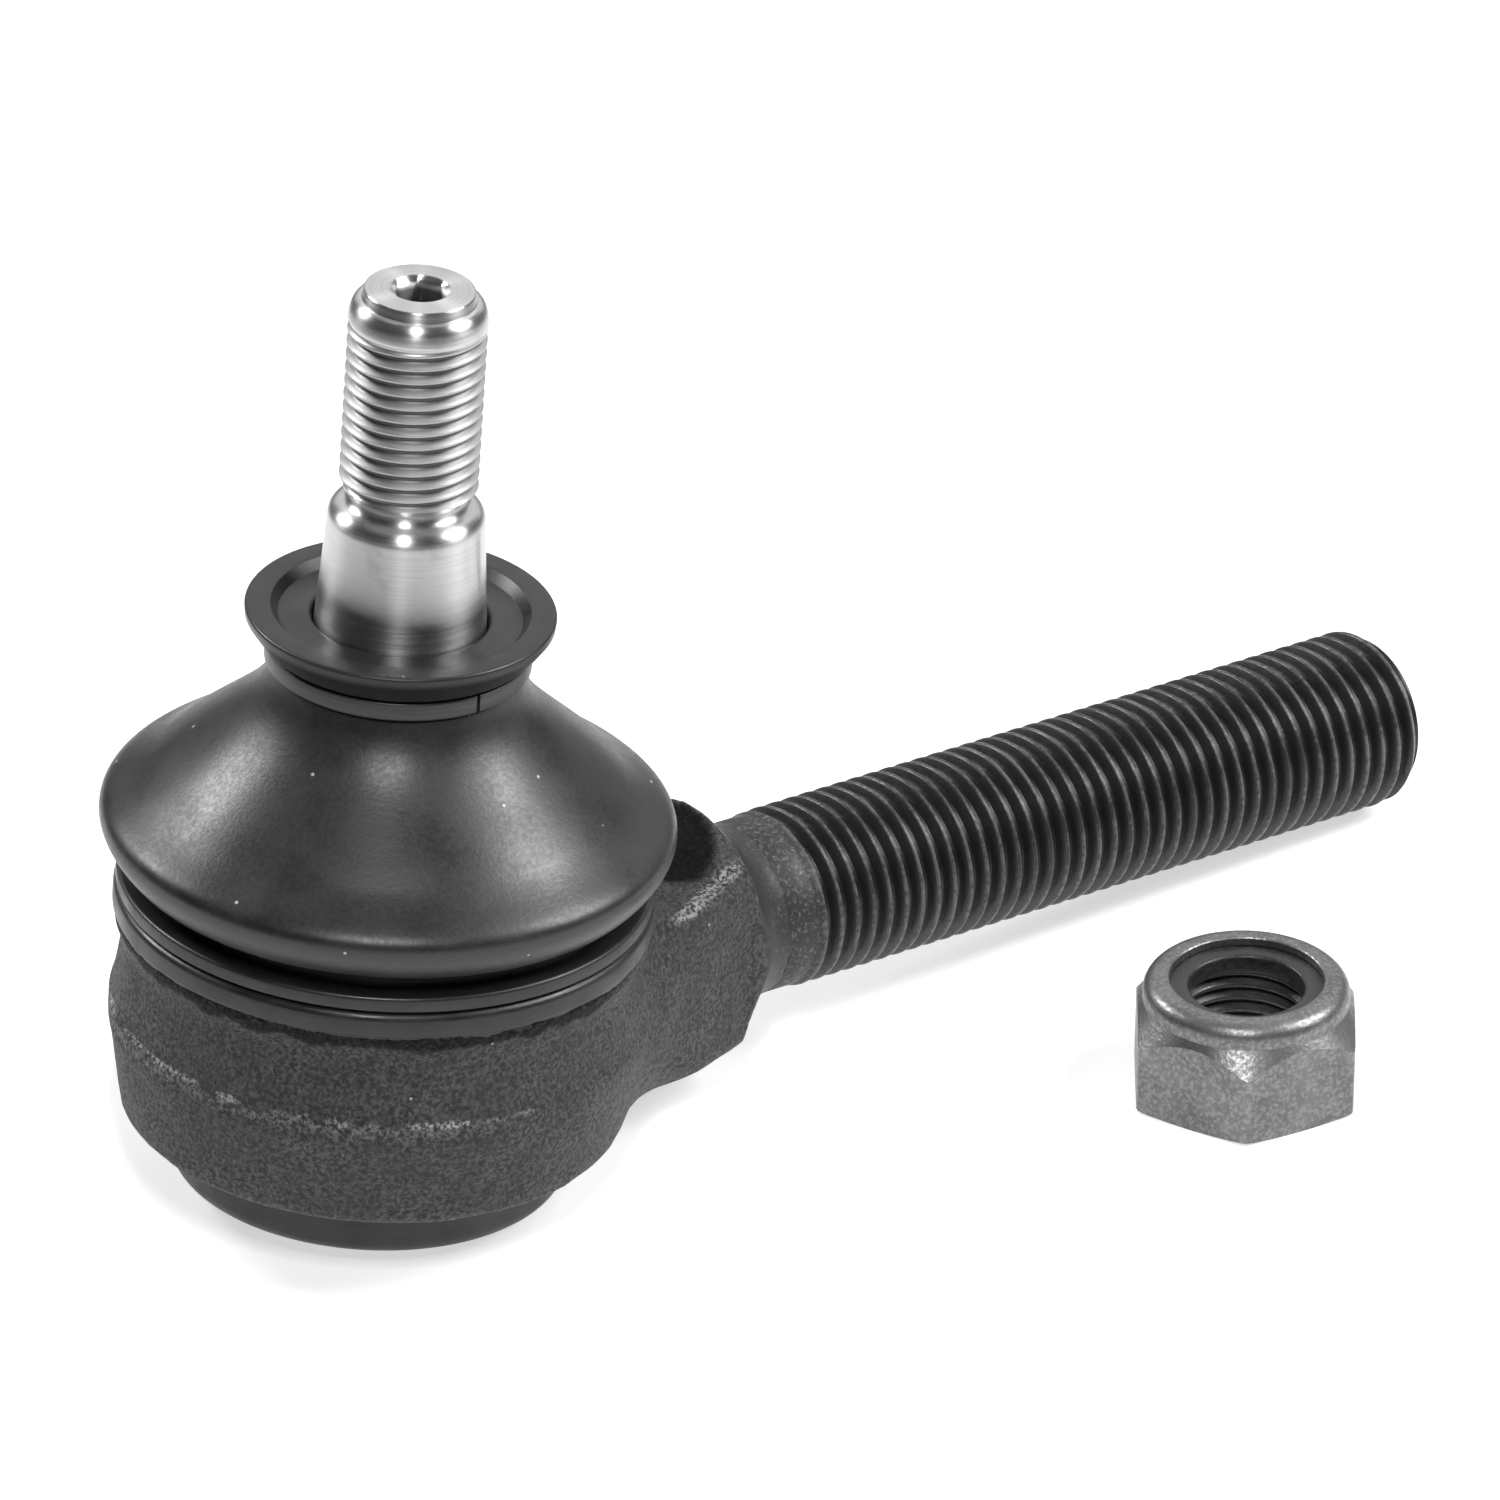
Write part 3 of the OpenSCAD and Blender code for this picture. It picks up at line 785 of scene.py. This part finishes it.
def make_stud():
    """Ball, neck, taper, thread and plain tip with its hexagon socket, as one turned skin."""
    columns = 96
    shoulder_z, undercut_z = 62.6, 65.0
    depth = 0.52 * STUD_PITCH
    thread_high = 81.4
    pilot_z = 83.5
    root_r = STUD_R - 1

    neck_foot = BALL_Z + math.sqrt(BALL_R ** 2 - STUD_NECK_R ** 2)
    lower = (
        [(0, BALL_Z - BALL_R)]
        + arc(0, BALL_Z, BALL_R, -86, math.degrees(math.acos(STUD_NECK_R / BALL_R)) - 1, 40)
        + [(STUD_NECK_R, neck_foot + 0.12), (STUD_NECK_R, 34.5)]
        + curve((STUD_NECK_R, 34.5), (STUD_NECK_R, 36.5), (TAPER_R, 37), (TAPER_R, 38.8))
        + [(taper_r(z), z) for z in np.linspace(TAPER_Z, shoulder_z, 8)]
        + arc(taper_r(shoulder_z) - 1.5, shoulder_z + 0.1, 1.5, 5, 78, 8)
        + [(root_r + 0.35, undercut_z - 0.75), (root_r + 0.06, undercut_z - 0.35), (root_r, undercut_z)])

    def radius_at(z, phase):
        fade = 1 - smooth_step(z, thread_high - 1.0, thread_high + 0.2)
        r = STUD_R - depth * thread_depth(phase) * fade
        r = np.minimum(r, root_r + (z - undercut_z) * 0.9)
        rise = np.clip((z - thread_high) / (pilot_z - thread_high), 0, 1)
        crown = root_r - 0.05 + 1.05 * np.sqrt(np.clip(1 - rise ** 2.2, 0, 1))
        return np.minimum(r, np.where(rise > 0, crown, STUD_R))

    key = 1.9          # half the socket's width across its flats
    turn = 2 * np.pi * np.arange(columns) / columns
    hexagon = key / np.cos((turn % (np.pi / 3)) - np.pi / 6)
    upper = [ring(r, z, columns) for r, z in
             [(root_r - 0.05, pilot_z)]
             + arc(root_r - 0.4, TIP - 0.22, 0.2, 15, 90, 4)
             + [(3.1, TIP), (2.6, TIP)]]
    socket = [ring(np.maximum(hexagon, 2.25), TIP - 0.3, columns), ring(hexagon, TIP - 0.75, columns),
              ring(hexagon, TIP - 4.4, columns), ring(hexagon * 0.97, TIP - 4.5, columns),
              ring(0, TIP - 5.0, columns)]
    shape = joined(skin([ring(r, z, columns) for r, z in lower]),
                   helix(undercut_z, pilot_z, STUD_PITCH, radius_at, columns),
                   skin(upper + socket))
    piece("stud", shape, "stud", ["ball_stud"], bright_steel(), sharp=38)


# --------------------------------------------------------------
# Dust boot and its rings
# --------------------------------------------------------------

def boot_outside():
    """The boot's outer outline from its neck down to its foot."""
    low = BEAD_TOP + 3.6
    flare = curve((10.9, 48.5), (11.7, 44.6), (15.6, 42.2), (20.7, 37.6), 26)
    shoulder = curve((20.7, 37.6), (23.4, 35.3), (BOOT_R, 35.1), (BOOT_R, 33.6), 18)
    under = curve((BOOT_R, 33.6), (BOOT_R, 32.5), (BOOT_R - 0.9, 31.3), (BOOT_R - 1.7, low), 12)
    foot = curve((BOOT_R - 1.7, low), (22.3, low), (21.5, low - 0.1), (21.2, BEAD_TOP + 1.9), 5)
    return ([(10.55, BOOT_TOP), (10.55, 48.85)] + flare + shoulder[1:] + under[1:]
            + foot[1:] + [(21.2, BEAD_TOP)])


def boot_inside():
    """The boot's inner outline from its foot up to its neck."""
    low = BEAD_TOP + 3.6
    skin_t = 1.9
    chamber = curve((21.6, low + 1.4), (BOOT_R - skin_t, low + 2.2), (BOOT_R - skin_t - 0.6, 34.1),
                    (19.5, 36.1), 14)
    cone = curve((19.5, 36.1), (14.4, 40.8), (9.65, 43.2), (9.65, 46.6), 18)
    return [(19.3, BEAD_TOP), (19.3, BEAD_TOP + 2.4)] + chamber + cone[1:] + [(9.65, BOOT_TOP)]


def cut_at(outline, height, keep_above):
    """The stretch of an outline on one side of a height, ending exactly on the cut."""
    kept = []
    for (r0, z0), (r1, z1) in zip(outline, outline[1:]):
        above0, above1 = z0 > height, z1 > height
        if above0 == keep_above:
            kept.append((r0, z0))
        if above0 != above1:
            # two points close together keep the surface smooth up to the cut
            t = (height - z0) / (z1 - z0)
            inward = 0.04 if keep_above == above1 else -0.04
            pair = [(r0 + u * (r1 - r0), z0 + u * (z1 - z0)) for u in (t, t + inward)]
            kept += pair if keep_above == above1 else pair[::-1]
    last = outline[-1]
    if (last[1] > height) == keep_above:
        kept.append(last)
    return kept


def make_boot():
    """Two shells, because a blend works across one joint; they meet at the same points."""
    rubber = boot_rubber()
    for name, above in (("boot_bell", False), ("boot_flare", True)):
        outline = cut_at(boot_outside(), BOOT_SPLIT, above) + cut_at(boot_inside(), BOOT_SPLIT, above)
        shell = piece(name, turned(outline, 192), None, ["dust_boot"], rubber, sharp=30)
        if above:
            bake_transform(shell)
        else:
            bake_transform(shell)


def make_boot_ring():
    outline = (arc(RING_R - 0.35, BEAD_TOP + 0.45, 0.35, -90, 0, 4)
               + arc(RING_R - 0.35, RING_TOP - 0.35, 0.35, 0, 90, 4)
               + [(21.25, RING_TOP), (21.25, BEAD_TOP + 0.1)])
    piece("boot_band", turned(outline, 192), "housing", ["boot_ring"],
          machined_black("band_black", 0.010, 0.40))


def make_flange():
    gap = 0.08
    sleeve_r = 9.6
    lip_z = 52.4          # where the inner lip meets the stud
    outline = (
        [(taper_r(SLEEVE_BOTTOM) + gap, SLEEVE_BOTTOM), (sleeve_r, SLEEVE_BOTTOM), (sleeve_r, 50.7)]
        + [(11.3, 50.72)]
        + curve((11.3, 50.72), (12.1, 51.1), (12.5, 51.9), (FLANGE_R - 0.06, FLANGE_TOP - 0.9), 8)
        + arc(FLANGE_R - 0.3, FLANGE_TOP - 0.3, 0.3, -15, 90, 5)
        + arc(FLANGE_R - 2.1, FLANGE_TOP - 0.2, 0.2, 90, 145, 3)
        + [(FLANGE_R - 2.9, FLANGE_TOP - 0.85), (FLANGE_R - 3.2, FLANGE_TOP - 0.9)]
        + [(taper_r(lip_z) + 1.0, FLANGE_TOP - 0.8)]
        + arc(taper_r(lip_z) + 0.62, FLANGE_TOP - 1.1, 0.4, 80, 160, 3)
        + [(taper_r(lip_z) + gap, lip_z)])
    piece("flange_collar", turned(outline, 192), "flange", ["boot_flange"],
          moulded_black())


def make_clip():
    """Flat spring ring with a slit, its ends squared and lightly rounded."""
    slit = 0.35
    inner = 10.6
    r = 0.16
    section = (arc(CLIP_R - r, CLIP_LOW + r, r, -90, 0, 3) + arc(CLIP_R - r, CLIP_HIGH - r, r, 0, 90, 3)
               + [(inner, CLIP_HIGH), (inner, CLIP_LOW)])
    half = slit / 2 / CLIP_R
    start = -math.pi / 2 + half
    sweep = 2 * math.pi - 2 * half
    steps = 168
    vertices, faces, count = [], [], len(section)
    for i in range(steps + 1):
        a = start + sweep * i / steps
        vertices += [(x * math.cos(a), x * math.sin(a), z) for x, z in section]
    for i in range(steps):
        for j in range(count):
            k = (j + 1) % count
            faces.append((i * count + j, i * count + k, (i + 1) * count + k, (i + 1) * count + j))
    faces += [tuple(range(count)), tuple(steps * count + j for j in range(count))]
    piece("neck_clip", (np.array(vertices), faces), "flange", ["clip_ring"], clip_black())


def make_cap():
    inner = CAP_R - CAP_SHEET
    outline = (
        [(0, 0.45), (5.5, 0.45)]
        + curve((5.5, 0.45), (7.0, 0.45), (7.0, 0.0), (8.5, 0.0), 6)
        + arc(CAP_R - CAP_EDGE, CAP_EDGE, CAP_EDGE, -90, 0, 8)
        + [(CAP_R, CAP_TOP), (inner, CAP_TOP)]
        + arc(inner - 0.5, CAP_SHEET + 0.5, 0.5, 0, -90, 4)
        + [(0, CAP_SHEET)])
    piece("pressed_cap", turned(outline, 160), "housing", ["closing_cap"],
          machined_black("cap_black", 0.012, 0.45))


# --------------------------------------------------------------
# Nut
# --------------------------------------------------------------

NUT_TURN = -7.5
NUT_AF = 19.0              # width across the flats
NUT_H = 10.8
INSERT_LOW, INSERT_HIGH = NUT_H - 2.8, NUT_H - 0.8
CROWN_Z = NUT_H - 2.4


def nut_place():
    """The nut's own frame: its foot's centre on the floor, a corner turned to the front."""
    at = Vector(mounts["nut_thread"]["pos_m"]) / MM
    foot = at - NUT_UP * NUT_UP.dot(at - FLOOR_POINT)
    tilt = Matrix.Rotation(math.atan2(NUT_UP.x, NUT_UP.z), 4, "Y")
    return Matrix.Translation(foot * MM) @ tilt @ Matrix.Rotation(math.radians(NUT_TURN), 4, "Z")


def make_nut():
    """Hexagon nut with a round crown, cut thread and nylon ring."""
    columns = 288
    turn = np.degrees(2 * np.pi * np.arange(columns) / columns)
    flat = NUT_AF / 2
    hexagon = flat / np.cos(np.radians(turn % 60 - 30))
    # the corners are rounded off a little
    over = np.clip(hexagon - (flat / math.cos(math.pi / 6) - 0.28), 0, None)
    hexagon = hexagon - over * 0.5
    foot = (hexagon - flat + 0.05) / 5
    head = CROWN_Z - 2.7 + (flat + 2 - hexagon) / 0.831
    crown_r = flat * 0.957
    lip_r = 6.75
    outer = [ring(5.9, 0.0, columns), ring(flat - 0.12, 0.0, columns),
             ring(flat - 0.05, 0.04, columns),
             ring(hexagon, foot, columns), ring(hexagon, head, columns),
             ring(crown_r + 0.06, CROWN_Z + 0.22, columns)]
    outer += [ring(r, z, columns) for r, z in
              [(crown_r, CROWN_Z + 0.3)] + arc(crown_r - 1.5, NUT_H - 1.5, 1.5, 0, 90, 10)
              + arc(lip_r + 0.25, NUT_H - 0.25, 0.25, 90, 180, 3)
              + [(lip_r, INSERT_HIGH + 0.05), (7.4, INSERT_HIGH), (7.4, INSERT_LOW), (5.95, INSERT_LOW)]]
    minor, depth = 5.32, 0.68

    def radius_at(z, phase):
        r = minor + depth * (1 - thread_depth(phase + 0.5))
        mouth = 6.2 - z * 0.9
        return np.where(z < 1.0, np.maximum(r, mouth), r)

    low, high = 0.3, INSERT_LOW
    bore = helix(low, high, STUD_PITCH, radius_at, columns)
    # both ends of the thread close on the flat faces
    top = ring(radius_at(np.full(columns, high), (high - low) / STUD_PITCH - turn / 360), high, columns)
    bottom = ring(radius_at(np.full(columns, low), -turn / 360), low, columns)
    shape = joined(skin([bottom] + outer + [top]), bore)
    piece("lock_nut", shape, "nut", ["nut_body"], zinc(), place=nut_place(), sharp=28)

    outline = (arc(5.4, INSERT_LOW + 0.4, 0.35, 180, 270, 3)
               + [(7.35, INSERT_LOW + 0.05), (7.35, INSERT_HIGH - 0.05)]
               + arc(5.4, INSERT_HIGH - 0.4, 0.35, 90, 180, 3))
    piece("lock_ring", turned(outline, 160), "nut", ["nut_insert"], nylon(),
          place=nut_place())


# --------------------------------------------------------------
# Pieces whose CAD shape is shown: the seats and the spring
# --------------------------------------------------------------

def dress(node, finish):
    """Gives a CAD node that stays visible its finish."""
    shown = frame["nodes"][node]
    shown.data.materials.clear()
    shown.data.materials.append(finish)


# --------------------------------------------------------------
# Floor, lights and camera
# --------------------------------------------------------------

CENTRE = Vector((35.66, -4.75, 32.63)) * MM     # what the camera looks at
CAMERA_TURN, CAMERA_RISE, CAMERA_ROLL = -39.3, 27.72, 4.03
CAMERA_AWAY = 1.614
SENSOR, LENS = 36.0, 445.9
FLOOR_GLOW = 0.6


def direction(turn, rise):
    """Unit vector from the object towards a place; turn 0 is the front, 90 the right."""
    a, e = math.radians(turn), math.radians(rise)
    return Vector((math.sin(a) * math.cos(e), -math.cos(a) * math.cos(e), math.sin(e)))


def make_camera():
    data = bpy.data.cameras.new("camera")
    data.sensor_width = SENSOR
    data.lens = LENS
    data.clip_start, data.clip_end = 0.05, 20
    camera = bpy.data.objects.new("camera", data)
    bpy.context.scene.collection.objects.link(camera)
    back = direction(CAMERA_TURN, CAMERA_RISE)
    right = Vector((0, 0, 1)).cross(back).normalized()
    up = back.cross(right)
    c, s = math.cos(math.radians(CAMERA_ROLL)), math.sin(math.radians(CAMERA_ROLL))
    across, above = c * right + s * up, c * up - s * right
    place = Matrix((across, above, back)).transposed().to_4x4()
    place.translation = CENTRE + back * CAMERA_AWAY
    camera.matrix_world = place
    bpy.context.scene.camera = camera


def make_floor():
    """A pale round floor under the cap's edge and the shank's end, fading out at its rim."""
    radius = 0.30
    columns = 96
    rings = [ring(r, 0.0, columns) for r in (0, 100, 200, radius / MM)]
    vertices, faces = skin(rings)
    mesh = bpy.data.meshes.new("floor")
    mesh.from_pydata([tuple(v) for v in vertices * MM], [], faces)
    floor = bpy.data.objects.new("floor", mesh)
    bpy.context.scene.collection.objects.link(floor)
    tilt = Matrix.Rotation(math.atan2(NUT_UP.x, NUT_UP.z), 4, "Y")
    middle = FLOOR_POINT * MM + tilt.to_3x3() @ Vector((0.018, 0, 0))
    floor.matrix_world = Matrix.Translation(middle) @ tilt
    material = bpy.data.materials.new("pale_floor")
    material.use_nodes = True
    tree = material.node_tree
    tree.nodes.clear()
    out = tree.nodes.new("ShaderNodeOutputMaterial")
    paint = tree.nodes.new("ShaderNodeBsdfDiffuse")
    paint.inputs["Color"].default_value = (0.6, 0.6, 0.6, 1)
    glow = tree.nodes.new("ShaderNodeEmission")
    glow.inputs["Strength"].default_value = FLOOR_GLOW
    both = tree.nodes.new("ShaderNodeAddShader")
    clear = tree.nodes.new("ShaderNodeBsdfTransparent")
    rim = tree.nodes.new("ShaderNodeMixShader")
    where = tree.nodes.new("ShaderNodeTexCoord")
    away = tree.nodes.new("ShaderNodeVectorMath")
    away.operation = "LENGTH"
    fade = tree.nodes.new("ShaderNodeMapRange")
    fade.interpolation_type = "SMOOTHSTEP"
    fade.inputs["From Min"].default_value = radius * 0.72
    fade.inputs["From Max"].default_value = radius * 0.98
    link = tree.links.new
    link(where.outputs["Object"], away.inputs[0])
    link(away.outputs["Value"], fade.inputs["Value"])
    link(fade.outputs["Result"], rim.inputs[0])
    link(paint.outputs[0], both.inputs[0])
    link(glow.outputs[0], both.inputs[1])
    link(both.outputs[0], rim.inputs[1])
    link(clear.outputs[0], rim.inputs[2])
    link(rim.outputs[0], out.inputs[0])
    mesh.materials.append(material)


# turn and rise from the front, distance, width, height and power of each soft light
LIGHTS = {
    "left": (CAMERA_TURN - 112, 32, 0.60, 0.14, 0.14, 1.7),
    "front": (CAMERA_TURN - 4, 48, 0.80, 0.05, 0.18, 3.1),
    "right": (CAMERA_TURN + 90, 44, 0.60, 0.26, 0.26, 3.3),
    "top": (CAMERA_TURN + 180, 66, 0.80, 0.80, 0.80, 1.3),
    "backdrop": (CAMERA_TURN + 180, 32, 0.60, 0.90, 0.50, 1.2),
}


def make_lights():
    for name, (turn, rise, away, width, height, power) in LIGHTS.items():
        data = bpy.data.lights.new("soft_" + name, "AREA")
        data.shape = "RECTANGLE"
        data.size, data.size_y = width, height
        data.energy = power
        lamp = bpy.data.objects.new("soft_" + name, data)
        bpy.context.scene.collection.objects.link(lamp)
        back = direction(turn, rise)
        lamp.location = CENTRE + back * away
        lamp.rotation_mode = "QUATERNION"
        lamp.rotation_quaternion = back.to_track_quat("Z", "Y")
    world = bpy.data.worlds.new("studio")
    bpy.context.scene.world = world
    world.use_nodes = True
    tree = world.node_tree
    tree.nodes.clear()
    out = tree.nodes.new("ShaderNodeOutputWorld")
    room = tree.nodes.new("ShaderNodeBackground")
    room.inputs["Color"].default_value = (0.04, 0.04, 0.04, 1)
    paper = tree.nodes.new("ShaderNodeBackground")
    paper.inputs["Color"].default_value = (1, 1, 1, 1)
    path = tree.nodes.new("ShaderNodeLightPath")
    choose = tree.nodes.new("ShaderNodeMixShader")
    tree.links.new(path.outputs["Is Camera Ray"], choose.inputs[0])
    tree.links.new(room.outputs[0], choose.inputs[1])
    tree.links.new(paper.outputs[0], choose.inputs[2])
    tree.links.new(choose.outputs[0], out.inputs[0])
    bpy.context.scene.view_settings.view_transform = "Standard"


make_camera()
make_floor()
make_lights()
make_housing()
make_stud()
make_boot()
make_boot_ring()
make_flange()
make_clip()
make_cap()
make_nut()
seats = seat_plastic()
dress("upper_seat", seats)
dress("lower_seat", seats)
dress("preload_spring", spring_steel())
